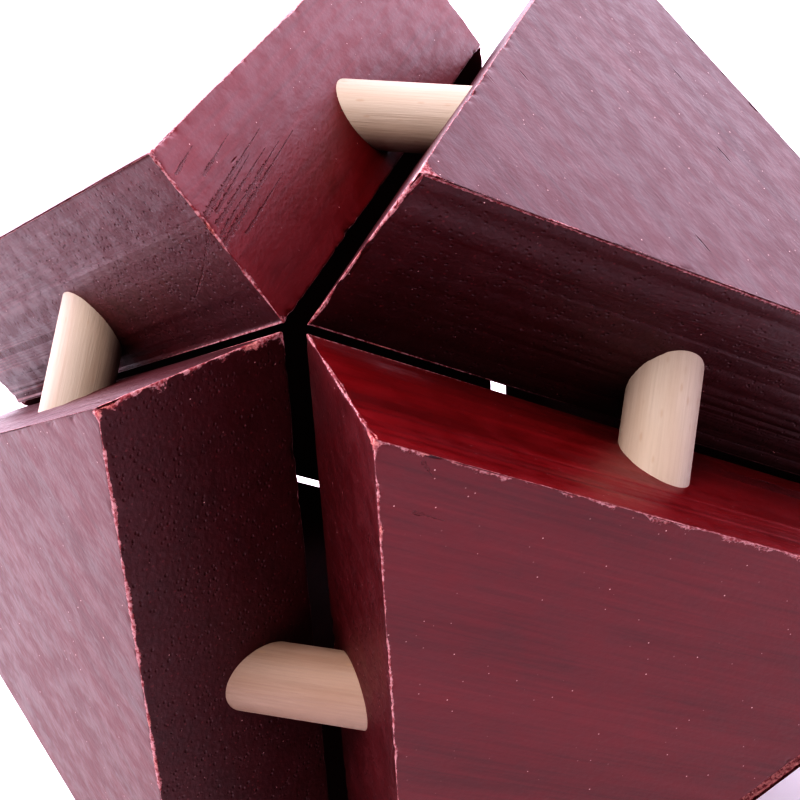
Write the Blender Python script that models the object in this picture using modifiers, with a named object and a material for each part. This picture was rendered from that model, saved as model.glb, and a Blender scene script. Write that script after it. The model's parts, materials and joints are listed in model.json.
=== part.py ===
"""Wooden burr puzzle of eight triangular blocks pinned together round a hollow octahedron.

Run with: blender --background --python part.py

Each block is a straight prism on an equilateral triangle, and its inner face lies on one face of an octahedral
hollow. The puzzle's own X, Y and Z axes leave through the six openings where four blocks meet. The sloping sides
of two neighbours form a V groove, and a dowel parallel to one of those axes crosses it. Every dowel is glued
into one block and slides in the other, so blocks with three dowels alternate with blocks with three sockets.
The puzzle stands on its two lowest edges, with its own axes turned 45 degrees about world X. +Z is up and -Y is
the front.
"""

import math
from itertools import product

import bmesh
import bpy
from mathutils import Matrix, Vector

# Driving dimensions, in metres.
TRIANGLE_SIDE = 0.0400
BLOCK_THICKNESS = 0.0105
SIDE_GAP = 0.0011  # between the left and right halves, which stand a little apart
ROW_GAP = 0.0003  # between rows, whose inner edges rest on each other
EDGE_ROUND = 0.00025
DOWEL_DIAMETER = 0.0040
DOWEL_LENGTH = 0.0170
DOWEL_CHAMFER = 0.0003
DOWEL_OFFSET = 0.0161  # from a dowel's axis to each of the two planes beside it, with all gaps closed
SOCKET_CLEARANCE = 0.0001  # on the radius
SOCKET_END_GAP = 0.0010  # lets the halves close up

STAND_TURN = math.radians(45.0)
ROUND_SEGMENTS = 32
SHARP_ANGLE = math.radians(40.0)

# Worked out from those.
BLOCK_RADIUS = TRIANGLE_SIDE / math.sqrt(3.0)
INNER_FACE_DISTANCE = TRIANGLE_SIDE / math.sqrt(6.0)  # from the centre, with all gaps closed
GAPS = (SIDE_GAP, ROW_GAP, ROW_GAP)  # along the puzzle's own X, Y and Z

# A piece's place is a sign for each of the puzzle's axes: X is left or right, and Y and Z give the row.
SIDES = {-1: "left", 1: "right"}
ROWS = {(1, 1): "top", (-1, 1): "front", (-1, -1): "bottom", (1, -1): "back"}

# Colour, roughness and clear coat of the two woods.
RED_LACQUER = ((0.17, 0.022, 0.030), 0.38, 0.6)
PALE_BIRCH = ((0.78, 0.62, 0.44), 0.55, 0.0)


def clear_scene():
    for old in list(bpy.data.objects):
        bpy.data.objects.remove(old)


def new_collection(name):
    made = bpy.data.collections.new(name)
    bpy.context.scene.collection.children.link(made)
    return made


def wood(name, look):
    """A Principled wood material with its own colour, roughness and clear coat."""
    colour, roughness, coat = look
    material = bpy.data.materials.new(name)
    material.use_nodes = True
    shader = material.node_tree.nodes["Principled BSDF"]
    shader.inputs["Base Color"].default_value = (*colour, 1.0)
    shader.inputs["Roughness"].default_value = roughness
    shader.inputs["Coat Weight"].default_value = coat
    material.diffuse_color = (*colour, 1.0)
    return material


def prism_mesh(name, segments, radius, length):
    """A right prism along Z, centred on the origin, with its first corner on +Y."""
    shape = bmesh.new()
    bmesh.ops.create_cone(shape, cap_ends=True, segments=segments, radius1=radius, radius2=radius, depth=length)
    mesh = bpy.data.meshes.new(name)
    shape.to_mesh(mesh)
    shape.free()
    return mesh


def add_object(name, mesh, collection, parent, matrix):
    made = bpy.data.objects.new(name, mesh)
    collection.objects.link(made)
    made.parent = parent
    made.matrix_basis = matrix
    return made


def add_bevel(piece, width, segments):
    bevel = piece.modifiers.new("bevel", "BEVEL")
    bevel.width = width
    bevel.segments = segments
    bevel.limit_method = "ANGLE"
    bevel.angle_limit = SHARP_ANGLE


def block_name(signs):
    return f"block_{ROWS[signs[1:]]}_{SIDES[signs[0]]}"


def half_gaps(signs):
    """How far a place moves from the centre to open the gaps, along each axis."""
    return Vector([sign * gap / 2.0 for sign, gap in zip(signs, GAPS)])


def block_matrix(signs):
    """Local Z leaves through the outer face, and local Y points to the corner at the puzzle's X axis."""
    outward = Vector(signs).normalized()
    x_axis = Vector((signs[0], 0.0, 0.0))
    to_corner = (x_axis - outward * outward.dot(x_axis)).normalized()
    turn = Matrix((to_corner.cross(outward), to_corner, outward)).transposed().to_4x4()
    centre = outward * (INNER_FACE_DISTANCE + BLOCK_THICKNESS / 2.0) + half_gaps(signs)
    return Matrix.Translation(centre) @ turn


def dowel_name(axis, signs):
    """The rows that a dowel joins and its side, or the row alone where it joins left to right."""
    if axis == 0:
        return f"dowel_{ROWS[signs[1:]]}_cross"
    ends = [list(signs[1:]), list(signs[1:])]
    ends[0][axis - 1] = 1
    ends[1][axis - 1] = -1
    rows = [ROWS[tuple(end)] for end in ends]
    if axis == 2:
        rows.sort(key=("top", "front", "bottom", "back").index)
    return f"dowel_{rows[0]}_{rows[1]}_{SIDES[signs[0]]}"


def dowel_matrix(axis, signs):
    """Centred on the plane between the two blocks, with local Z along the axis."""
    centre = Vector(signs) * DOWEL_OFFSET + half_gaps(signs)
    centre[axis] = 0.0
    along = Vector((0.0, 0.0, 0.0))
    along[axis] = 1.0
    return Matrix.Translation(centre) @ along.to_track_quat("Z", "Y").to_matrix().to_4x4()


def add_socket_cutters(mesh, collection, puzzle):
    """One cutter for each dowel place, keyed by its axis and the signs of the other two axes."""
    cutters = {}
    for axis, signs in product(range(3), product((-1, 1), repeat=3)):
        if signs[axis] == 1:
            cutter = add_object(f"cutter_{dowel_name(axis, signs)}", mesh, collection, puzzle,
                                dowel_matrix(axis, signs))
            cutter.hide_render = True
            cutter.display_type = "WIRE"
            cutters[axis, signs] = cutter
    return cutters


def facing_place(axis, signs):
    """The same place seen from the block on the positive side of the axis."""
    return axis, signs[:axis] + (1,) + signs[axis + 1:]


def add_block(signs, mesh, cutters, collection, puzzle):
    block = add_object(block_name(signs), mesh, collection, puzzle, block_matrix(signs))
    block.data.materials.clear()
    block.data.materials.append(wood(f"{block.name}_lacquer", RED_LACQUER))
    add_bevel(block, EDGE_ROUND, 2)
    for axis in range(3):
        drill = block.modifiers.new(f"socket_{'xyz'[axis]}", "BOOLEAN")
        drill.operation = "DIFFERENCE"
        drill.solver = "EXACT"
        drill.object = cutters[facing_place(axis, signs)]
    return block


def add_dowel(axis, signs, mesh, collection, block):
    """A dowel glued into its block, so it is placed in the block's own axes and moves with it."""
    matrix = block.matrix_basis.inverted() @ dowel_matrix(axis, signs)
    dowel = add_object(dowel_name(axis, signs), mesh, collection, block, matrix)
    dowel.data.materials.append(wood(f"{dowel.name}_birch", PALE_BIRCH))
    dowel.data.shade_smooth()
    dowel.data.set_sharp_from_angle(angle=SHARP_ANGLE)
    add_bevel(dowel, DOWEL_CHAMFER, 1)


def stand_up(puzzle, blocks):
    """Raise the puzzle until its lowest edges touch height 0."""
    depsgraph = bpy.context.evaluated_depsgraph_get()
    lowest = 0.0
    for block in blocks:
        solid = block.evaluated_get(depsgraph)
        lowest = min(lowest, min((solid.matrix_world @ corner.co).z for corner in solid.data.vertices))
    puzzle.location.z -= lowest


def build_puzzle():
    clear_scene()
    parts = new_collection("burr_puzzle")
    cutting = new_collection("cutters")
    puzzle = add_object("puzzle_axes", None, parts, None, Matrix.Rotation(STAND_TURN, 4, "X"))
    socket_mesh = prism_mesh("socket", ROUND_SEGMENTS, DOWEL_DIAMETER / 2.0 + SOCKET_CLEARANCE,
                             DOWEL_LENGTH + 2.0 * SOCKET_END_GAP)
    cutters = add_socket_cutters(socket_mesh, cutting, puzzle)
    blocks = []
    for signs in product((-1, 1), repeat=3):
        block_mesh = prism_mesh(block_name(signs), 3, BLOCK_RADIUS, BLOCK_THICKNESS)
        block = add_block(signs, block_mesh, cutters, parts, puzzle)
        blocks.append(block)
        has_dowels = math.prod(signs) == 1
        if has_dowels:
            for axis in range(3):
                dowel_mesh = prism_mesh(dowel_name(axis, signs), ROUND_SEGMENTS, DOWEL_DIAMETER / 2.0, DOWEL_LENGTH)
                add_dowel(axis, signs, dowel_mesh, parts, block)
    stand_up(puzzle, blocks)


build_puzzle()
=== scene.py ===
"""Looks for the triangular-block burr puzzle: worn red lacquer blocks, birch dowels, and a pale studio.

Every size and place is read from the CAD solids. Block and dowel meshes are built in a piece's own frame and
placed by its matrix, so that wood grain, pores, scratches and worn edges follow the piece.
"""

import json
import math

import bmesh
import bpy
import numpy as np
from mathutils import Matrix, Vector, noise
from mathutils.geometry import delaunay_2d_cdt


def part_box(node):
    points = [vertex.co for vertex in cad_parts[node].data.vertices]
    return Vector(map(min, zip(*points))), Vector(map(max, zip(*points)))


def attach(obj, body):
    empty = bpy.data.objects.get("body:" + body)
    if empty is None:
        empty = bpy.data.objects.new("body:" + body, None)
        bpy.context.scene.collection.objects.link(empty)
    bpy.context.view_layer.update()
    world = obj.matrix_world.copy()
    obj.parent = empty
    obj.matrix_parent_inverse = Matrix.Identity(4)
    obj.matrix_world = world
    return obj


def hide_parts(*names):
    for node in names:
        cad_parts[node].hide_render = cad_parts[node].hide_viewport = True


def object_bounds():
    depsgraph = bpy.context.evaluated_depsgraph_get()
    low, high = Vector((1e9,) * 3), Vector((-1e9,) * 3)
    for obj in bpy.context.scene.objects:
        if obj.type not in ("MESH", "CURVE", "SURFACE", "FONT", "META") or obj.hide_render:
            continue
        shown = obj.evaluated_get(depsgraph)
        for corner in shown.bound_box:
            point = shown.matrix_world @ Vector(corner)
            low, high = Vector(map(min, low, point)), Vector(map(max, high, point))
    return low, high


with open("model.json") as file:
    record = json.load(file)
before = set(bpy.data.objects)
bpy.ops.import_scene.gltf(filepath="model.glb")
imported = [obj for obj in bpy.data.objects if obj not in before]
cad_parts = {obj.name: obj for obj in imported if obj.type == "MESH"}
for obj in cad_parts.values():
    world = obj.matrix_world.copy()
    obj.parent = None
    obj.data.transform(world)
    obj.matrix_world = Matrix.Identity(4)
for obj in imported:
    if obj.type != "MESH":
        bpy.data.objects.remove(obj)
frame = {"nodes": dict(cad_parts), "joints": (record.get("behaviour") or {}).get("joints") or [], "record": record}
cad_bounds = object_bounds()

MM = 0.001

# Camera, seen from the puzzle's centre.
CAMERA_AZIMUTH = math.radians(17.9)
CAMERA_ELEVATION = math.radians(31.1)
CAMERA_ROLL = math.radians(-3.36)
CAMERA_DISTANCE = 110.8 * MM
CAMERA_LENS = 77.6
CAMERA_SENSOR = 36.0
CAMERA_CLIP_START = 0.005
AIM_RIGHT = -1.48 * MM
AIM_UP = 3.43 * MM

# Studio. Radiances are relative to the white that the picture clips at.
FLOOR_RADIUS = 3.0
FLOOR_SEGMENTS = 96
FLOOR_COLOUR = (0.84, 0.84, 0.86, 1.0)
FLOOR_ROUGHNESS = 0.9
FLOOR_SPECULAR = 0.1
ROOM_COLOUR = (0.94, 0.85, 1.0)
SOFTBOX_COLOUR = (1.0, 0.97, 0.95)
# Name, azimuth and elevation in degrees, distance and size in metres, radiance, colour.
SOFTBOXES = (
    ("softbox_left", 60.0, 20.0, 0.60, (0.50, 0.30), 7.5, ROOM_COLOUR),
    ("softbox_top", 155.0, 63.0, 0.60, (0.34, 0.34), 8.5, SOFTBOX_COLOUR),
)
# Where the world is brightest, the cosines between which it gets brighter, and how bright it is at each.
WORLD_BRIGHT_SIDE = (-0.26, 0.81, -0.52)
WORLD_SPREAD = (-0.85, 0.30)
WORLD_RADIANCE = (0.12, 2.40)

# Block surface, in millimetres.
EDGE_STEP = 0.20
EDGE_ROWS = (0.05, 0.11, 0.18, 0.27, 0.40, 0.60)
FACE_STEP = 0.80
FACE_MARGIN = 0.90
ROUND_SEGMENTS = 48
HOLE_CLEARANCE = 0.02
HOLE_END_GAP = 1.0
HOLE_RINGS = (0.22, 0.55)
EDGE_RADIUS = 0.10
EDGE_RADIUS_VARIATION = 0.09
SMALLEST_EDGE_RADIUS = 0.04
CHIP_DEPTH = 0.14
CHIP_REACH = 0.55
BARE_WIDTH = 0.07
SMALLEST_BARE_WIDTH = 0.02
WAVE_DEPTH = 0.010
WAVE_SIZE = 5.0
COARSE_SIZE = 3.1
MEDIUM_SIZE = 0.9
FINE_SIZE = 0.33
BLOCK_SHARP_ANGLE = math.radians(55.0)

# Dowels, in millimetres.
DOWEL_CHAMFER = 0.3
DOWEL_STEP = 0.5
DOWEL_SHARP_ANGLE = math.radians(30.0)


# ---------------------------------------------------------------- reading the CAD solids

def points_of(node):
    mesh = frame["nodes"][node].data
    flat = np.empty(len(mesh.vertices) * 3, np.float32)
    mesh.vertices.foreach_get("co", flat)
    return flat.reshape(-1, 3).astype(float)


def body_of(node):
    bodies = frame["record"]["behaviour"]["bodies"]
    return next(body for body, nodes in bodies.items() if node in nodes)


def puzzle_axes():
    """The puzzle's own X, Y and Z in the world, from the three joints that move freely."""
    followers = {coupling["joint"] for coupling in frame["record"]["behaviour"]["couplings"]}
    free = [joint for joint in frame["joints"] if joint["name"] not in followers]
    return [Vector(joint["axis"]).normalized() for joint in free]


AXES = puzzle_axes()
CENTRE = (Vector(cad_bounds[0]) + Vector(cad_bounds[1])) / 2.0
BLOCKS = sorted(name for name in frame["nodes"] if name.startswith("block_"))
DOWELS = sorted(name for name in frame["nodes"] if name.startswith("dowel_"))


def block_signs(node):
    low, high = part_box(node)
    away = (low + high) / 2.0 - CENTRE
    return tuple(1 if away.dot(axis) > 0.0 else -1 for axis in AXES)


def side_normals():
    """Outward normals of a block's three sides in its own frame, whose first corner is on +Y."""
    return [Vector((math.cos(turn), math.sin(turn), 0.0))
            for turn in (math.radians(-90.0 + 120.0 * side) for side in range(3))]


def measure_block(node):
    """A block's placing matrix, and its apothem and thickness in millimetres, from its flat faces."""
    signs = block_signs(node)
    outward = sum((axis * sign for axis, sign in zip(AXES, signs)), Vector()).normalized()
    x_axis = AXES[0] * signs[0]
    to_corner = (x_axis - outward * outward.dot(x_axis)).normalized()
    turn = Matrix((to_corner.cross(outward), to_corner, outward)).transposed()
    local = points_of(node) @ np.array(turn)
    reach = [float((local @ np.array(normal)).max()) for normal in side_normals()]
    apothem = sum(reach) / 3.0
    centre = sum(((r - apothem) * 2.0 / 3.0 * normal for r, normal in zip(reach, side_normals())), Vector())
    centre.z = (local[:, 2].max() + local[:, 2].min()) / 2.0
    thickness = float(local[:, 2].max() - local[:, 2].min())
    matrix = Matrix.Translation(turn @ centre) @ turn.to_4x4()
    return matrix, apothem / MM, thickness / MM


def measure_dowel(node):
    """A dowel's placing matrix with its length along Z, and its radius and length in millimetres."""
    points = points_of(node)
    spreads = [np.ptp(points @ np.array(axis)) for axis in AXES]
    along = AXES[int(np.argmax(spreads))]
    across = (AXES[(AXES.index(along) + 1) % 3] - AXES[(AXES.index(along) + 2) % 3]).normalized()
    low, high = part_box(node)
    turn = Matrix((across, along.cross(across), along)).transposed()
    matrix = Matrix.Translation((low + high) / 2.0) @ turn.to_4x4()
    return matrix, min(spreads) / 2.0 / MM, max(spreads) / MM


# ---------------------------------------------------------------- one block's surface, in millimetres

def inset_loop(corners, inset, step):
    """Evenly spaced points along a convex outline moved inwards, corners included."""
    moved = []
    count = len(corners)
    for i in range(count):
        before = (corners[i] - corners[i - 1]).normalized()
        after = (corners[(i + 1) % count] - corners[i]).normalized()
        half = math.acos(max(-1.0, min(1.0, -before.dot(after)))) / 2.0
        moved.append(corners[i] + (after - before).normalized() * (inset / math.sin(half)))
    points = []
    for i in range(count):
        start, end = moved[i], moved[(i + 1) % count]
        steps = max(1, round((end - start).length / step))
        points += [start.lerp(end, j / steps) for j in range(steps)]
    return points


def inside_distance(point, corners):
    """How far a point is inside a convex outline that runs anticlockwise."""
    distance = math.inf
    for i, corner in enumerate(corners):
        along = (corners[(i + 1) % len(corners)] - corner).normalized()
        distance = min(distance, along.cross(point - corner))
    return distance


def grid_points(corners, step, margin):
    """A triangular grid of points well inside an outline."""
    xs, ys = [c.x for c in corners], [c.y for c in corners]
    rise = step * math.sqrt(3.0) / 2.0
    points = []
    for row in range(int((max(ys) - min(ys)) / rise) + 1):
        for column in range(int((max(xs) - min(xs)) / step) + 1):
            shift = 0.5 * (row % 2)
            point = Vector((min(xs) + (column + shift) * step, min(ys) + row * rise))
            if inside_distance(point, corners) > margin:
                points.append(point)
    return points


def face_mesh(corners, rows, ring=None, ring_centre=None):
    """Points and triangles of one flat face, fine along its edges, with a round opening if ring is given."""
    outline = inset_loop(corners, 0.0, EDGE_STEP)
    points = list(outline)
    loops = [list(range(len(outline)))]
    free = []
    for inset in rows:
        free += inset_loop(corners, inset, EDGE_STEP * (1.0 if inset < 0.2 else 1.6))
    free += grid_points(corners, FACE_STEP, FACE_MARGIN)
    if ring:
        loops.append(list(range(len(points), len(points) + len(ring))))
        points += ring
        half_width = max((p - ring_centre).x for p in ring)
        half_height = max((p - ring_centre).y for p in ring)

        def from_ring(point):
            away = point - ring_centre
            size = math.hypot(away.x / half_width, away.y / half_height)
            return (size - 1.0) * half_width

        rings = [ring_centre + (p - ring_centre) * (1.0 + grow / half_width)
                 for grow in HOLE_RINGS for p in ring]
        free = [p for p in free if from_ring(p) > HOLE_RINGS[-1] + 0.1]
        free += [p for p in rings if inside_distance(p, corners) > rows[-1] + 0.05]
    points += free
    edges = [(loop[i - 1], loop[i]) for loop in loops for i in range(len(loop))]
    found, _, triangles, _, _, _ = delaunay_2d_cdt(points, edges, [], 1, 1e-6)
    if ring:
        triangles = [t for t in triangles
                     if from_ring(sum((found[i] for i in t), Vector((0.0, 0.0))) / 3.0) > 0.0]
    return found, triangles


class BlockShape:
    """The sharp-edged block that every block is worn from: points, faces and which points a hole holds still."""

    def __init__(self, apothem, thickness, hole_height, hole_radius, hole_depth):
        self.apothem = apothem
        self.half = thickness / 2.0
        self.points = []
        self.faces = []
        radius = 2.0 * apothem
        corners = [Vector((radius * math.cos(t), radius * math.sin(t)))
                   for t in (math.radians(90.0 + 120.0 * i) for i in range(3))]
        found, triangles = face_mesh(corners, EDGE_ROWS)
        self.add([(p.x, p.y, self.half) for p in found], triangles)
        found, triangles = face_mesh(corners, EDGE_ROWS[1::2])
        self.add([(p.x, p.y, -self.half) for p in found], [t[::-1] for t in triangles])
        half_side = apothem * math.sqrt(3.0)
        rectangle = [Vector(c) for c in ((-half_side, -self.half), (half_side, -self.half),
                                         (half_side, self.half), (-half_side, self.half))]
        for normal in side_normals():
            self.add_side(normal, rectangle, hole_height, hole_radius, hole_depth)
        self.merge()

    def add(self, points, faces):
        start = len(self.points)
        self.points += points
        self.faces += [[start + i for i in face] for face in faces]

    def add_side(self, normal, rectangle, hole_height, hole_radius, hole_depth):
        """A side with a round hole that leaves along one of the puzzle's axes, so its mouth is an ellipse."""
        up = Vector((0.0, 0.0, 1.0))
        along_side = up.cross(normal)
        bore = -normal * math.sqrt(2.0 / 3.0) + up * math.sqrt(1.0 / 3.0)
        mouth_stretch = math.sqrt(3.0 / 2.0)
        turns = [2.0 * math.pi * i / ROUND_SEGMENTS for i in range(ROUND_SEGMENTS)]
        centre = Vector((0.0, hole_height))
        ring = [centre + Vector((math.cos(t), math.sin(t) * mouth_stretch)) * hole_radius for t in turns]
        found, triangles = face_mesh(rectangle, EDGE_ROWS, ring, centre)

        def place(point):
            return normal * self.apothem + along_side * point.x + up * point.y

        self.add([tuple(place(p)) for p in found], triangles)
        mouth = place(centre)
        start = [place(p) for p in ring]
        end = [p + bore * (hole_depth - (p - mouth).dot(bore)) for p in start]
        bottom = mouth + bore * hole_depth
        count = len(ring)
        walls = [(i, (i + 1) % count, count + (i + 1) % count, count + i) for i in range(count)]
        caps = [(count + i, count + (i + 1) % count, 2 * count) for i in range(count)]
        self.add([tuple(p) for p in start + end + [bottom]], walls + caps)

    def merge(self):
        keys = np.round(np.array(self.points), 4)
        _, first, inverse = np.unique(keys, axis=0, return_index=True, return_inverse=True)
        self.faces = [[int(inverse.ravel()[i]) for i in face] for face in self.faces]
        self.points = np.array(self.points)[first]
        planes = self.plane_distances(self.points)
        planes.sort(axis=1)
        self.on_surface = planes[:, 0] < 1e-3
        self.edge_distance = planes[:, 1]

    def plane_distances(self, points):
        sides = [self.apothem - points @ np.array(normal) for normal in side_normals()]
        return np.stack(sides + [self.half - points[:, 2], self.half + points[:, 2]], axis=1)

    def worn(self, points, radius):
        """Round the sharp edges with a radius of their own at each point. Also gives outward directions."""
        normals = np.array([normal[:2] for normal in side_normals()])
        flat = points[:, :2]
        over = flat @ normals.T - (self.apothem - radius)[:, None]
        worst = over.argmax(axis=1)
        depth = np.maximum(over.max(axis=1), 0.0)
        nearest = flat - normals[worst] * depth[:, None]
        still_over = nearest @ normals.T - (self.apothem - radius)[:, None] > 1e-9
        for i in range(3):
            at_corner = still_over.any(axis=1) & (worst != i) & ~still_over[:, i]
            corner = -normals[i] * 2.0 * (self.apothem - radius)[:, None]
            nearest[at_corner] = corner[at_corner]
        inner = np.column_stack([nearest, np.clip(points[:, 2], -self.half + radius, self.half - radius)])
        outward = points - inner
        length = np.linalg.norm(outward, axis=1)
        outward /= np.maximum(length, 1e-9)[:, None]
        return inner + outward * radius[:, None], outward


def smoothstep(low, high, value):
    t = np.clip((value - low) / (high - low), 0.0, 1.0)
    return t * t * (3.0 - 2.0 * t)


def noise_at(points, size, seed):
    """Perlin noise with features of about that size, from -1 to 1."""
    shift = Vector((seed * 17.3, seed * -9.1, seed * 5.7))
    return np.array([noise.noise(Vector(p) / size + shift) for p in points])


# Knocks: block, puzzle axis whose corner was hit, how far down the ridge from the outer face, reach, depth.
KNOCKS = (
    ("block_front_left", 2, 0.2, 1.3, 0.30),
    ("block_front_right", 2, 0.7, 1.6, 0.24),
    ("block_top_left", 2, 4.6, 0.7, 0.22),
    ("block_top_left", 2, 0.5, 0.9, 0.15),
    ("block_top_right", 2, 9.0, 0.8, 0.12),
    ("block_bottom_right", 0, 0.4, 1.4, 0.25),
    ("block_back_left", 1, 0.5, 1.5, 0.26),
    ("block_back_right", 0, 0.3, 1.1, 0.22),
    ("block_bottom_left", 2, 1.2, 1.0, 0.18),
)


# Edges that are worn wider than the rest: block, kind, puzzle axis, bare width. A ridge runs inwards from the
# corner at that axis, and an outer edge is the one that faces away from that corner.
WORN_EDGES = (
    ("block_front_right", "outer", 1, 0.27),
    ("block_front_right", "ridge", 2, 0.19),
    ("block_front_right", "outer", 0, 0.13),
    ("block_front_left", "ridge", 2, 0.42),
    ("block_front_left", "outer", 0, 0.20),
    ("block_top_right", "outer", 1, 0.18),
    ("block_top_right", "ridge", 2, 0.60),
    ("block_top_left", "ridge", 2, 0.26),
    ("block_back_right", "outer", 0, 0.22),
    ("block_back_left", "outer", 2, 0.24),
    ("block_bottom_right", "ridge", 0, 0.22),
    ("block_bottom_left", "outer", 2, 0.20),
)


def corner_of(matrix, shape, axis):
    """A block's corner at one of the puzzle's axes, in the block's own frame, at mid thickness."""
    toward = matrix.to_3x3().inverted() @ AXES[axis]
    sign = 1.0 if toward.z > 0.0 else -1.0
    return max((-normal * 2.0 * shape.apothem for normal in side_normals()),
               key=lambda corner: corner.dot(toward) * sign)


def edge_distances(points, shape, matrix, kind, axis):
    """How far points are from one of a block's edges."""
    corner = np.array(corner_of(matrix, shape, axis))
    if kind == "ridge":
        return np.linalg.norm(points[:, :2] - corner[:2], axis=1)
    facing = -corner / np.linalg.norm(corner)
    return np.hypot(shape.apothem - points @ facing, shape.half - points[:, 2])


def corner_point(matrix, shape, axis, depth):
    """The point on a block's ridge at one of the puzzle's axes, that far below the outer face."""
    return np.array(corner_of(matrix, shape, axis)) + np.array((0.0, 0.0, shape.half - depth))


def add_block(node, shape, seed):
    """A worn copy of the block. Its attributes say how bare the lacquer is, and how hard it was knocked."""
    matrix = measure_block(node)[0]
    points = shape.points
    distance = shape.edge_distance
    coarse = noise_at(points, COARSE_SIZE, seed)
    medium = noise_at(points, MEDIUM_SIZE, seed + 3)
    fine = noise_at(points, FINE_SIZE, seed + 7)
    near_edge = 1.0 - smoothstep(0.0, CHIP_REACH, distance)
    hit = np.zeros(len(points))
    for place, axis, depth, reach, force in KNOCKS:
        if place == node:
            away = np.linalg.norm(points - corner_point(matrix, shape, axis, depth), axis=1)
            hit += force * (1.0 - smoothstep(0.2 * reach, reach, away)) * (0.75 + 0.5 * medium)
    radius = EDGE_RADIUS + EDGE_RADIUS_VARIATION * np.clip(coarse + 0.6 * medium, -0.6, 1.0) + 0.5 * hit
    worn, outward = shape.worn(points, np.maximum(radius, SMALLEST_EDGE_RADIUS))
    chip = CHIP_DEPTH * smoothstep(0.15, 0.65, coarse * 0.5 + medium) * (0.6 + 0.8 * fine) * near_edge
    chip += hit * (0.5 + 0.6 * fine) * near_edge
    wave = WAVE_DEPTH * noise_at(points, WAVE_SIZE, seed + 11) * smoothstep(0.0, 2.0, distance)
    worn -= outward * (np.maximum(chip, 0.0) + wave)[:, None]
    held = ~shape.on_surface
    worn[held] = points[held]
    bare_width = BARE_WIDTH + 0.06 * coarse + 0.08 * medium + 2.2 * hit
    for place, kind, axis, width in WORN_EDGES:
        if place == node:
            from_edge = edge_distances(points, shape, matrix, kind, axis)
            share = 1.0 - smoothstep(width * 1.5, width * 2.5, from_edge)
            bare_width += share * (width * (0.9 + 1.3 * medium + 0.5 * coarse) - 0.06)
    bare = np.clip(1.0 - distance / np.maximum(bare_width, SMALLEST_BARE_WIDTH) * 0.5, 0.0, 1.0)
    bare[held] = 0.0
    mesh = bpy.data.meshes.new(f"{node}_worn")
    mesh.from_pydata((worn * MM).tolist(), [], shape.faces)
    mesh.attributes.new("edge_wear", "FLOAT", "POINT").data.foreach_set("value", bare.astype(np.float32))
    mesh.attributes.new("edge_knock", "FLOAT", "POINT").data.foreach_set("value", hit.astype(np.float32))
    mesh.shade_smooth()
    mesh.set_sharp_from_angle(angle=BLOCK_SHARP_ANGLE)
    block = bpy.data.objects.new(f"{node}_worn", mesh)
    bpy.context.scene.collection.objects.link(block)
    block.matrix_world = matrix
    return block


def add_dowel(node):
    """A turned dowel with chamfered ends. Its sides line up with the sides of its holes."""
    matrix, radius, length = measure_dowel(node)
    half = length / 2.0
    steps = round(length / DOWEL_STEP)
    heights = [-half] + [-half + DOWEL_CHAMFER + (length - 2.0 * DOWEL_CHAMFER) * i / steps
                         for i in range(steps + 1)] + [half]
    shape = bmesh.new()
    rings = []
    for height in heights:
        size = radius - (DOWEL_CHAMFER if abs(height) == half else 0.0)
        rings.append([shape.verts.new((size * MM * math.cos(t), size * MM * math.sin(t), height * MM))
                      for t in (2.0 * math.pi * i / ROUND_SEGMENTS for i in range(ROUND_SEGMENTS))])
    for low, high in zip(rings, rings[1:]):
        for i in range(ROUND_SEGMENTS):
            shape.faces.new((low[i - 1], low[i], high[i], high[i - 1]))
    shape.faces.new(rings[0][::-1])
    shape.faces.new(rings[-1])
    mesh = bpy.data.meshes.new(f"{node}_turned")
    shape.to_mesh(mesh)
    shape.free()
    mesh.shade_smooth()
    mesh.set_sharp_from_angle(angle=DOWEL_SHARP_ANGLE)
    dowel = bpy.data.objects.new(f"{node}_turned", mesh)
    bpy.context.scene.collection.objects.link(dowel)
    dowel.matrix_world = matrix
    return dowel


# ---------------------------------------------------------------- materials

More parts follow.
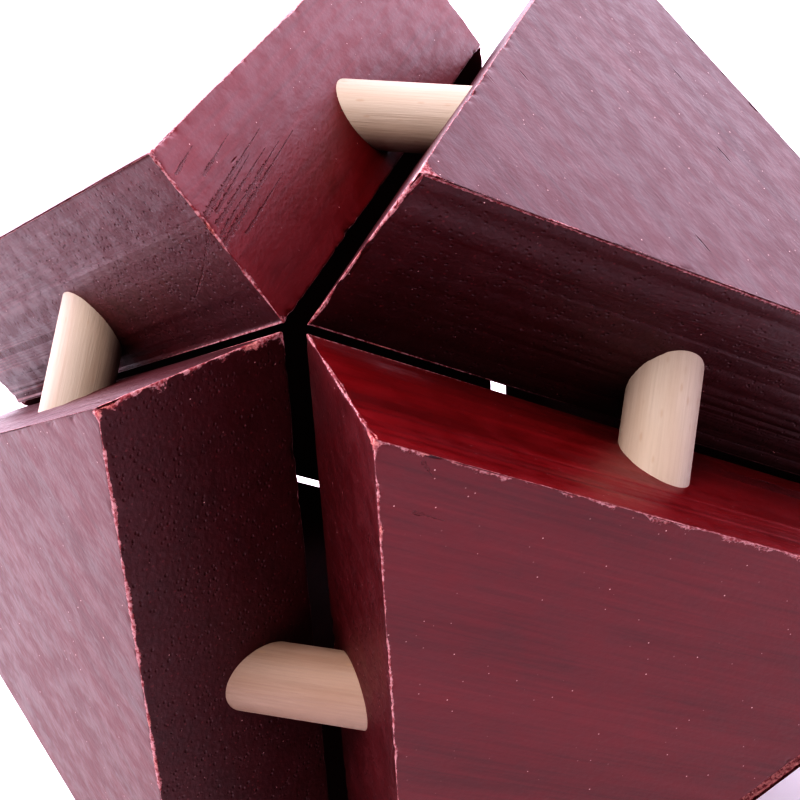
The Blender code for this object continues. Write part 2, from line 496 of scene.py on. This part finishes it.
class Nodes:
    """A new Principled material, and short ways to add nodes to it."""

    def __init__(self, name):
        self.material = bpy.data.materials.new(name)
        self.material.use_nodes = True
        self.tree = self.material.node_tree
        self.shader = self.tree.nodes["Principled BSDF"]

    def put(self, socket, value):
        if isinstance(value, bpy.types.NodeSocket):
            self.tree.links.new(value, socket)
        elif value is not None:
            socket.default_value = value

    def add(self, kind, inputs=(), **settings):
        node = self.tree.nodes.new(kind)
        for key, value in settings.items():
            setattr(node, key, value)
        for key, value in dict(inputs).items():
            self.put(node.inputs[key], value)
        return node

    def math(self, operation, a, b=None, clamp=False):
        node = self.add("ShaderNodeMath", operation=operation, use_clamp=clamp)
        for socket, value in zip(node.inputs, (a, b)):
            self.put(socket, value)
        return node.outputs[0]

    def range(self, value, low, high, to_low=0.0, to_high=1.0):
        inputs = {"Value": value, "From Min": low, "From Max": high, "To Min": to_low, "To Max": to_high}
        return self.add("ShaderNodeMapRange", inputs, interpolation_type="SMOOTHSTEP").outputs[0]

    def mix(self, factor, a, b, blend="MIX"):
        node = self.add("ShaderNodeMix", data_type="RGBA", blend_type=blend)
        for index, value in ((0, factor), (6, a), (7, b)):
            self.put(node.inputs[index], value)
        return node.outputs[2]

    def blend(self, factor, a, b):
        node = self.add("ShaderNodeMix", data_type="FLOAT")
        for index, value in ((0, factor), (2, a), (3, b)):
            self.put(node.inputs[index], value)
        return node.outputs[0]

    def coordinates(self, size, turn, shift):
        """The piece's own coordinates, turned about Z, in units of size, a length in millimetres for each axis."""
        where = self.add("ShaderNodeTexCoord").outputs["Object"]
        turned = self.add("ShaderNodeVectorRotate", {"Vector": where, "Angle": -turn}, rotation_type="Z_AXIS")
        scale = tuple(1.0 / (s * MM) for s in size)
        return self.add("ShaderNodeMapping", {"Vector": turned.outputs[0], "Scale": scale,
                                              "Location": shift}).outputs[0]

    def noise(self, vector, detail=2.0, rough=0.5, distortion=0.0):
        inputs = {"Vector": vector, "Scale": 1.0, "Detail": detail, "Roughness": rough,
                  "Distortion": distortion}
        return self.add("ShaderNodeTexNoise", inputs).outputs[0]

    def cells(self, vector):
        """Distance to the nearest of scattered points, and a random number for that point."""
        node = self.add("ShaderNodeTexVoronoi", {"Vector": vector, "Scale": 1.0})
        return node.outputs["Distance"], self.add("ShaderNodeSeparateColor",
                                                  {"Color": node.outputs["Color"]}).outputs[0]

    def stroke(self, start, end, half_width, ragged):
        """A scratch in the piece's own millimetres, from 1 on it to 0 off it, that thins out towards its end."""
        along = Vector(end) - Vector(start)
        where = self.add("ShaderNodeTexCoord").outputs["Object"]
        away = self.add("ShaderNodeVectorMath", {0: where, 1: Vector(start) * MM}, operation="SUBTRACT").outputs[0]
        share = self.add("ShaderNodeVectorMath", {0: away, 1: along / along.length_squared / MM},
                         operation="DOT_PRODUCT").outputs["Value"]
        share = self.math("MULTIPLY", share, 1.0, clamp=True)
        nearest = self.add("ShaderNodeVectorMath", {0: along * MM, "Scale": share}, operation="SCALE").outputs[0]
        miss = self.add("ShaderNodeVectorMath", {0: away, 1: nearest}, operation="DISTANCE").outputs["Value"]
        width = self.math("MULTIPLY", self.range(share, 0.0, 1.0, 1.0, 0.15),
                          self.range(ragged, 0.36, 0.64, 0.15, 1.7))
        return self.range(self.math("DIVIDE", miss, width), 0.4 * half_width * MM, half_width * MM, 1.0, 0.0)

    def bump(self, height, distance, under=None):
        inputs = {"Height": height, "Distance": distance, "Strength": 1.0, "Normal": under}
        return self.add("ShaderNodeBump", inputs).outputs[0]


LACQUER_DARK = (0.086, 0.0034, 0.0060, 1.0)
LACQUER_MID = (0.120, 0.0058, 0.0100, 1.0)
LACQUER_LIGHT = (0.150, 0.0090, 0.0140, 1.0)
PORE = (0.030, 0.0030, 0.0045, 1.0)
SCRATCH = (0.100, 0.0040, 0.0060, 1.0)
BARE_PINK = (0.44, 0.22, 0.23, 1.0)
WORN_RED = (0.21, 0.036, 0.042, 1.0)
BARE_CORAL = (0.50, 0.20, 0.18, 1.0)
# Pale pink specks: partly dust, partly painted glints.
DUST_AND_GLINT = (0.70, 0.46, 0.44, 1.0)
END_GRAIN_DARKENING = 0.38
# Painted light: the long-grain side faces are made a brighter red, standing in for the light that falls on them.
SIDE_FACE_PAINTED_LIGHT = (1.40, 1.0, 1.0, 1.0)
BIRCH_DARK = (0.51, 0.41, 0.34, 1.0)
BIRCH_LIGHT = (0.59, 0.49, 0.415, 1.0)
BIRCH_CLOUD = (0.54, 0.42, 0.33, 1.0)
BIRCH_FLECK = (0.36, 0.24, 0.16, 1.0)

# Sizes of the lacquer's patterns in millimetres, along the grain and across it.
STREAK_SIZE = (9, 0.30, 0.30)
BAND_SIZE = (22, 2.6, 2.6)
MOTTLE_SIZE = (1.6, 1.1, 1.1)
PORE_SIZE = (1.9, 0.32, 0.32)
SPLIT_SIZE = (6.5, 0.95, 0.95)
SPECK_SIZE = (0.31, 0.31, 0.31)
DUST_AND_GLINT_SIZE = (0.46, 0.46, 0.46)
RAGGED_SIZE = (0.16, 0.16, 0.16)
CORAL_SIZE = (1.5, 1.5, 1.5)
THIN_COAT_SIZE = (0.22, 0.22, 0.22)
PEEL_SIZE = (0.42, 0.30, 0.30)
FIBRE_SIZE = (4.5, 0.13, 0.13)

# Sizes of the birch's patterns in millimetres, across the dowel twice and along it.
BIRCH_FIBRE_SIZE = (0.16, 0.16, 5)
BIRCH_CLOUD_SIZE = (1.4, 1.4, 5)
BIRCH_FLECK_SIZE = (0.45, 0.45, 1.3)
BIRCH_GRAIN_SIZE = (0.10, 0.10, 2.2)

# Relief in millimetres.
PEEL_DEPTH = 0.030
FIBRE_DEPTH = 0.002
PIT_DEPTH = 0.06
BARE_WOOD_DEPTH = 0.07
BIRCH_GRAIN_DEPTH = 0.02

LACQUER_ROUGHNESS = (0.33, 0.43)
END_GRAIN_ROUGHENING = 0.10
BARE_ROUGHNESS = 0.60
LACQUER_SPECULAR_TINT = (1.0, 0.93, 1.0, 1.0)
BIRCH_ROUGHNESS = (0.52, 0.66)
BIRCH_SPECULAR = 0.4

# How much of the lacquer's unevenness comes from each pattern.
STREAK_SHARE = 0.40
BAND_SHARE = 0.38
MOTTLE_SHARE = 0.22

# How dark a piece is beside the colours above, and how much redder a dowel is made. A block's tone is its stain.
# The dowels' tones are painted shade and painted light: dowel_front_cross is darkest as painted shade for its
# shaded groove, and dowel_top_front_right is lightest as painted light.
TONES_AND_PAINTED_SHADE = {"block_top_left": 0.78, "block_top_right": 0.52, "block_front_left": 0.60, "block_front_right": 0.92,
         "block_back_left": 0.9, "dowel_front_cross": 0.56, "dowel_top_front_right": 0.85,
         "dowel_top_front_left": 0.72, "dowel_top_cross": 0.81, "dowel_back_bottom_left": 0.8,
         "dowel_back_bottom_right": 0.75, "dowel_top_back_left": 0.78, "dowel_top_back_right": 0.82,
         "dowel_back_cross": 0.7}
TINTS = {"dowel_front_cross": (1.0, 0.84, 0.78), "dowel_back_cross": (1.0, 0.92, 0.85)}

# Scratches and splits, in millimetres in the block's own frame: start, end and half width at the start.
SCRATCHES = {
    "block_top_left": (
        ((-19.3, -11.55, 3.6), (-16.6, -11.55, 4.0), 0.10),
        ((-19.6, -11.55, 1.2), (-10.4, -11.55, 2.1), 0.17),
        ((-19.2, -11.55, 0.5), (-11.2, -11.55, 1.2), 0.13),
        ((-19.7, -11.55, 0.0), (-14.4, -11.55, 0.5), 0.12),
        ((-19.9, -11.55, -0.4), (-7.8, -11.55, 0.7), 0.16),
        ((-19.6, -10.9, 0.3), (-17.7, -7.8, -1.6), 0.13),
        ((-17.9, -8.1, -1.4), (-16.4, -5.5, -2.7), 0.09),
        ((-17.4, -11.55, 2.6), (-13.2, -11.55, 3.1), 0.10),
        ((-15.8, -11.55, 0.3), (-9.6, -11.55, 0.9), 0.14),
        ((-18.6, -11.55, 0.9), (-12.9, -11.55, 1.6), 0.11),
        ((-17.6, -11.55, -0.9), (-11.4, -11.55, -0.4), 0.10),
    ),
    "block_front_right": (
        ((-18.2, -9.3, 5.25), (-17.3, -8.9, 5.25), 0.10),
        ((-15.6, -9.9, 5.25), (-14.7, -8.4, 5.25), 0.08),
    ),
    "block_bottom_left": (
        ((-6.0, 4.0, 5.25), (1.0, 4.6, 5.25), 0.10),
    ),
    "block_back_right": (
        ((-3.0, -6.5, 5.25), (4.0, -6.0, 5.25), 0.12),
        ((-1.0, -5.6, 5.25), (3.5, -5.2, 5.25), 0.09),
    ),
}


def toned(colour, node):
    tone = TONES_AND_PAINTED_SHADE.get(node, 1.0)
    return (*(channel * tone * tint for channel, tint in zip(colour, TINTS.get(node, (1.0, 1.0, 1.0)))), 1.0)


def lacquer(name, node, turn, seed):
    """Deep red lacquer over fine-pored wood, with the grain at that turn, rubbed through to pink at the edges."""
    n = Nodes(name)
    shift = (seed * 3.7, seed * 1.9, seed * -2.3)
    streaks = n.noise(n.coordinates(STREAK_SIZE, turn, shift), 3.0, 0.6, 0.3)
    bands = n.noise(n.coordinates(BAND_SIZE, turn, shift), 2.0, 0.5, 0.6)
    mottle = n.noise(n.coordinates(MOTTLE_SIZE, turn, shift), 3.0, 0.6)
    tone = n.math("ADD", n.math("MULTIPLY", streaks, STREAK_SHARE), n.math("MULTIPLY", bands, BAND_SHARE))
    tone = n.math("ADD", tone, n.math("MULTIPLY", mottle, MOTTLE_SHARE))
    dark, middle, light = (toned(shade, node) for shade in (LACQUER_DARK, LACQUER_MID, LACQUER_LIGHT))
    colour = n.mix(n.range(tone, 0.34, 0.54), dark, middle)
    colour = n.mix(n.range(tone, 0.50, 0.70), colour, light)

    facing = n.add("ShaderNodeTexCoord").outputs["Normal"]
    facing = n.add("ShaderNodeVectorRotate", {"Vector": facing, "Angle": -turn}, rotation_type="Z_AXIS").outputs[0]
    facing = n.add("ShaderNodeSeparateXYZ", {"Vector": facing})
    end_grain = n.range(n.math("ABSOLUTE", facing.outputs[0]), 0.35, 0.70)
    # Painted light: long-grain side faces (not end grain, not outer faces) get a brighter red base colour for the
    # light they catch.
    side_face_painted_light = n.range(n.math("MAXIMUM", n.math("ABSOLUTE", facing.outputs[2]), end_grain),
                         0.30, 0.70, 1.0, 0.0)
    colour = n.mix(n.math("MULTIPLY", end_grain, END_GRAIN_DARKENING), colour, PORE)
    colour = n.mix(side_face_painted_light, colour, SIDE_FACE_PAINTED_LIGHT, "MULTIPLY")
    pore_distance, pore_kind = n.cells(n.coordinates(PORE_SIZE, turn, shift))
    crowd = n.range(mottle, 0.38, 0.60, 0.62, 0.12)
    pores = n.math("MULTIPLY", n.range(pore_distance, 0.08, 0.36, 1.0, 0.0),
                   n.range(n.math("SUBTRACT", pore_kind, crowd), 0.0, 0.08))
    pores = n.math("MULTIPLY", pores, n.range(end_grain, 0.0, 1.0, 0.08, 1.0))
    colour = n.mix(n.math("MULTIPLY", pores, 0.35), colour, PORE)
    speck_distance, speck_kind = n.cells(n.coordinates(SPECK_SIZE, 0.9, shift))
    specks = n.math("MULTIPLY", n.range(speck_distance, 0.10, 0.28, 1.0, 0.0),
                    n.range(speck_kind, 0.60, 0.80))
    colour = n.mix(n.math("MULTIPLY", n.math("MULTIPLY", specks, end_grain), 0.40), colour, WORN_RED)
    split_distance, split_kind = n.cells(n.coordinates(SPLIT_SIZE, turn, shift))
    splits = n.math("MULTIPLY", n.range(split_distance, 0.05, 0.12, 1.0, 0.0),
                    n.range(split_kind, 0.84, 0.87))
    splits = n.math("MULTIPLY", splits, n.math("SUBTRACT", 1.0, end_grain))
    pits = n.math("MAXIMUM", n.math("MULTIPLY", pores, 0.45), splits)
    colour = n.mix(n.math("MULTIPLY", splits, 0.8), colour, PORE)

    ragged = n.noise(n.coordinates(RAGGED_SIZE, 0.0, shift), 3.0, 0.65)
    for start, end, half_width in SCRATCHES.get(node, ()):
        stroke = n.stroke(start, end, half_width, ragged)
        colour = n.mix(stroke, colour, SCRATCH)
        pits = n.math("MAXIMUM", pits, stroke)

    wear = n.add("ShaderNodeAttribute", attribute_name="edge_wear").outputs["Fac"]
    bare = n.range(n.math("ADD", wear, n.math("MULTIPLY", ragged, 0.70)), 0.98, 1.10)
    knock = n.add("ShaderNodeAttribute", attribute_name="edge_knock").outputs["Fac"]
    coral = n.range(n.noise(n.coordinates(CORAL_SIZE, 0.0, shift), 1.0), 0.58, 0.70, 0.0, 0.8)
    coral = n.math("MAXIMUM", coral, n.range(knock, 0.07, 0.17))
    rubbed = n.mix(coral, BARE_PINK, BARE_CORAL)
    thin = n.noise(n.coordinates(THIN_COAT_SIZE, 0.5, shift), 2.0, 0.6)
    colour = n.mix(bare, colour, n.mix(n.range(thin, 0.36, 0.60), WORN_RED, rubbed))

    # Tiny pale pink specks: partly dust, partly painted glints of light on tiny bumps.
    dust_and_glint_distance, dust_and_glint_kind = n.cells(n.coordinates(DUST_AND_GLINT_SIZE, 0.4, shift))
    dust_and_glint = n.math("MULTIPLY", n.range(dust_and_glint_distance, 0.06, 0.11, 1.0, 0.0),
                  n.range(dust_and_glint_kind, 0.70, 0.74))
    colour = n.mix(n.math("MULTIPLY", dust_and_glint, n.range(mottle, 0.42, 0.62, 0.1, 0.8)), colour, DUST_AND_GLINT)

    n.put(n.shader.inputs["Base Color"], colour)
    rough = n.math("ADD", n.range(mottle, 0.35, 0.65, *LACQUER_ROUGHNESS),
                   n.math("MULTIPLY", end_grain, END_GRAIN_ROUGHENING))
    n.put(n.shader.inputs["Roughness"], n.blend(bare, rough, BARE_ROUGHNESS))
    n.shader.inputs["Specular Tint"].default_value = LACQUER_SPECULAR_TINT

    peel = n.noise(n.coordinates(PEEL_SIZE, turn, shift), 2.0, 0.5)
    fibres = n.noise(n.coordinates(FIBRE_SIZE, turn, shift), 2.0, 0.6)
    fibres = n.math("MULTIPLY", fibres, n.math("SUBTRACT", 1.0, end_grain))
    normal = n.bump(n.math("MULTIPLY", peel, n.range(end_grain, 0.0, 1.0, 0.55, 1.0)), PEEL_DEPTH * MM)
    normal = n.bump(fibres, FIBRE_DEPTH * MM, under=normal)
    normal = n.bump(n.math("SUBTRACT", 1.0, pits), PIT_DEPTH * MM, under=normal)
    normal = n.bump(n.math("MULTIPLY", ragged, bare), BARE_WOOD_DEPTH * MM, under=normal)
    n.put(n.shader.inputs["Normal"], normal)
    return n.material


def birch(name, node, seed):
    """Pale birch with fine lengthwise fibres and a few brown flecks."""
    n = Nodes(name)
    shift = (seed * 2.1, seed * -1.3, seed * 4.9)
    fibres = n.noise(n.coordinates(BIRCH_FIBRE_SIZE, 0.0, shift), 3.0, 0.6, 0.2)
    clouds = n.noise(n.coordinates(BIRCH_CLOUD_SIZE, 0.0, shift), 2.0, 0.5)
    colour = n.mix(n.range(fibres, 0.25, 0.75), toned(BIRCH_DARK, node), toned(BIRCH_LIGHT, node))
    colour = n.mix(n.range(clouds, 0.35, 0.70, 0.0, 0.45), colour, toned(BIRCH_CLOUD, node))
    fleck_distance, fleck_kind = n.cells(n.coordinates(BIRCH_FLECK_SIZE, 0.0, shift))
    flecks = n.math("MULTIPLY", n.range(fleck_distance, 0.10, 0.28, 1.0, 0.0),
                    n.range(fleck_kind, 0.62, 0.80))
    colour = n.mix(n.math("MULTIPLY", flecks, 0.35), colour, BIRCH_FLECK)
    n.put(n.shader.inputs["Base Color"], colour)
    n.put(n.shader.inputs["Roughness"], n.range(fibres, 0.3, 0.7, *BIRCH_ROUGHNESS))
    n.shader.inputs["Specular IOR Level"].default_value = BIRCH_SPECULAR
    grain = n.noise(n.coordinates(BIRCH_GRAIN_SIZE, 0.0, shift), 3.0, 0.6)
    n.put(n.shader.inputs["Normal"], n.bump(grain, BIRCH_GRAIN_DEPTH * MM))
    return n.material


# ---------------------------------------------------------------- the puzzle

# The grain runs along one side of each triangle, the one opposite the corner at this puzzle axis.
GRAIN_OPPOSITE = {"block_top_left": 0, "block_top_right": 2, "block_front_right": 1, "block_front_left": 2,
                  "block_back_left": 1, "block_back_right": 0, "block_bottom_left": 0, "block_bottom_right": 1}


def grain_turn(node, matrix):
    """The angle of a block's grain about its own Z."""
    others = [i for i in range(3) if i != GRAIN_OPPOSITE[node]]
    signs = block_signs(node)
    along = AXES[others[0]] * signs[others[0]] - AXES[others[1]] * signs[others[1]]
    local = matrix.to_3x3().inverted() @ along
    return math.atan2(local.y, local.x)


def build_puzzle():
    matrix, apothem, thickness = measure_block(BLOCKS[0])
    dowel_matrix, radius, length = min((measure_dowel(d) for d in DOWELS),
                                       key=lambda m: (m[0].translation - matrix.translation).length)
    to_block = matrix.inverted()
    centre = to_block @ dowel_matrix.translation / MM
    along = (to_block.to_3x3() @ dowel_matrix.to_3x3().col[2]).normalized()
    along *= math.copysign(1.0, along.z)
    normal = max(side_normals(), key=lambda s: -s.dot(along))
    travel = (apothem - centre.dot(normal)) / along.dot(normal)
    mouth = centre + along * travel
    shape = BlockShape(apothem, thickness, mouth.z, radius + HOLE_CLEARANCE,
                       length / 2.0 + HOLE_END_GAP - travel)
    for seed, node in enumerate(BLOCKS):
        block = add_block(node, shape, seed)
        block.data.materials.append(lacquer(f"{node}_lacquer", node, grain_turn(node, block.matrix_world), seed))
        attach(block, body_of(node))
        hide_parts(node)
    for seed, node in enumerate(DOWELS):
        dowel = add_dowel(node)
        dowel.data.materials.append(birch(f"{node}_birch", node, seed))
        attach(dowel, body_of(node))
        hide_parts(node)


# ---------------------------------------------------------------- studio

def add_floor():
    shape = bmesh.new()
    bmesh.ops.create_circle(shape, cap_ends=True, segments=FLOOR_SEGMENTS, radius=FLOOR_RADIUS)
    mesh = bpy.data.meshes.new("studio_floor")
    shape.to_mesh(mesh)
    shape.free()
    floor = bpy.data.objects.new("studio_floor", mesh)
    bpy.context.scene.collection.objects.link(floor)
    floor.location.z = cad_bounds[0][2]
    n = Nodes("studio_floor")
    n.shader.inputs["Base Color"].default_value = FLOOR_COLOUR
    n.shader.inputs["Roughness"].default_value = FLOOR_ROUGHNESS
    n.shader.inputs["Specular IOR Level"].default_value = FLOOR_SPECULAR
    mesh.materials.append(n.material)


def add_softbox(name, azimuth, elevation, distance, size, radiance, colour):
    """A rectangular light facing the puzzle. Azimuth 0 is behind it, and turns towards its left."""
    light = bpy.data.lights.new(name, "AREA")
    light.shape = "RECTANGLE"
    light.size, light.size_y = size
    light.energy = radiance * math.pi * size[0] * size[1]
    light.color = colour
    lamp = bpy.data.objects.new(name, light)
    bpy.context.scene.collection.objects.link(lamp)
    turn, rise = math.radians(azimuth), math.radians(elevation)
    away = Vector((-math.sin(turn) * math.cos(rise), math.cos(turn) * math.cos(rise), math.sin(rise)))
    lamp.location = CENTRE + away * distance
    lamp.rotation_euler = (-away).to_track_quat("-Z", "Y").to_euler()
    lamp.visible_camera = False


def add_world():
    """A pale room that is brightest behind the puzzle."""
    world = bpy.data.worlds.new("studio")
    bpy.context.scene.world = world
    world.use_nodes = True
    tree = world.node_tree
    direction = tree.nodes.new("ShaderNodeTexCoord").outputs["Generated"]
    toward = tree.nodes.new("ShaderNodeVectorMath")
    toward.operation = "DOT_PRODUCT"
    toward.inputs[1].default_value = WORLD_BRIGHT_SIDE
    glow = tree.nodes.new("ShaderNodeMapRange")
    glow.interpolation_type = "SMOOTHSTEP"
    for name, value in zip(("From Min", "From Max", "To Min", "To Max"), (*WORLD_SPREAD, *WORLD_RADIANCE)):
        glow.inputs[name].default_value = value
    background = tree.nodes["Background"]
    background.inputs["Color"].default_value = (*ROOM_COLOUR, 1.0)
    tree.links.new(direction, toward.inputs[0])
    tree.links.new(toward.outputs["Value"], glow.inputs["Value"])
    tree.links.new(glow.outputs[0], background.inputs["Strength"])


def add_lights():
    add_world()
    for softbox in SOFTBOXES:
        add_softbox(*softbox)


def add_camera():
    data = bpy.data.cameras.new("camera")
    data.lens = CAMERA_LENS
    data.sensor_width = CAMERA_SENSOR
    data.clip_start = CAMERA_CLIP_START
    camera = bpy.data.objects.new("camera", data)
    bpy.context.scene.collection.objects.link(camera)
    turn = (Matrix.Rotation(CAMERA_AZIMUTH, 3, "Z") @ Matrix.Rotation(math.pi / 2.0 - CAMERA_ELEVATION, 3, "X")
            @ Matrix.Rotation(CAMERA_ROLL, 3, "Z"))
    place = CENTRE + turn @ Vector((AIM_RIGHT, AIM_UP, CAMERA_DISTANCE))
    camera.matrix_world = Matrix.Translation(place) @ turn.to_4x4()
    bpy.context.scene.camera = camera


add_camera()
build_puzzle()
add_floor()
add_lights()
bpy.context.scene.view_settings.view_transform = "Standard"
bpy.context.scene.view_settings.look = "Very High Contrast"
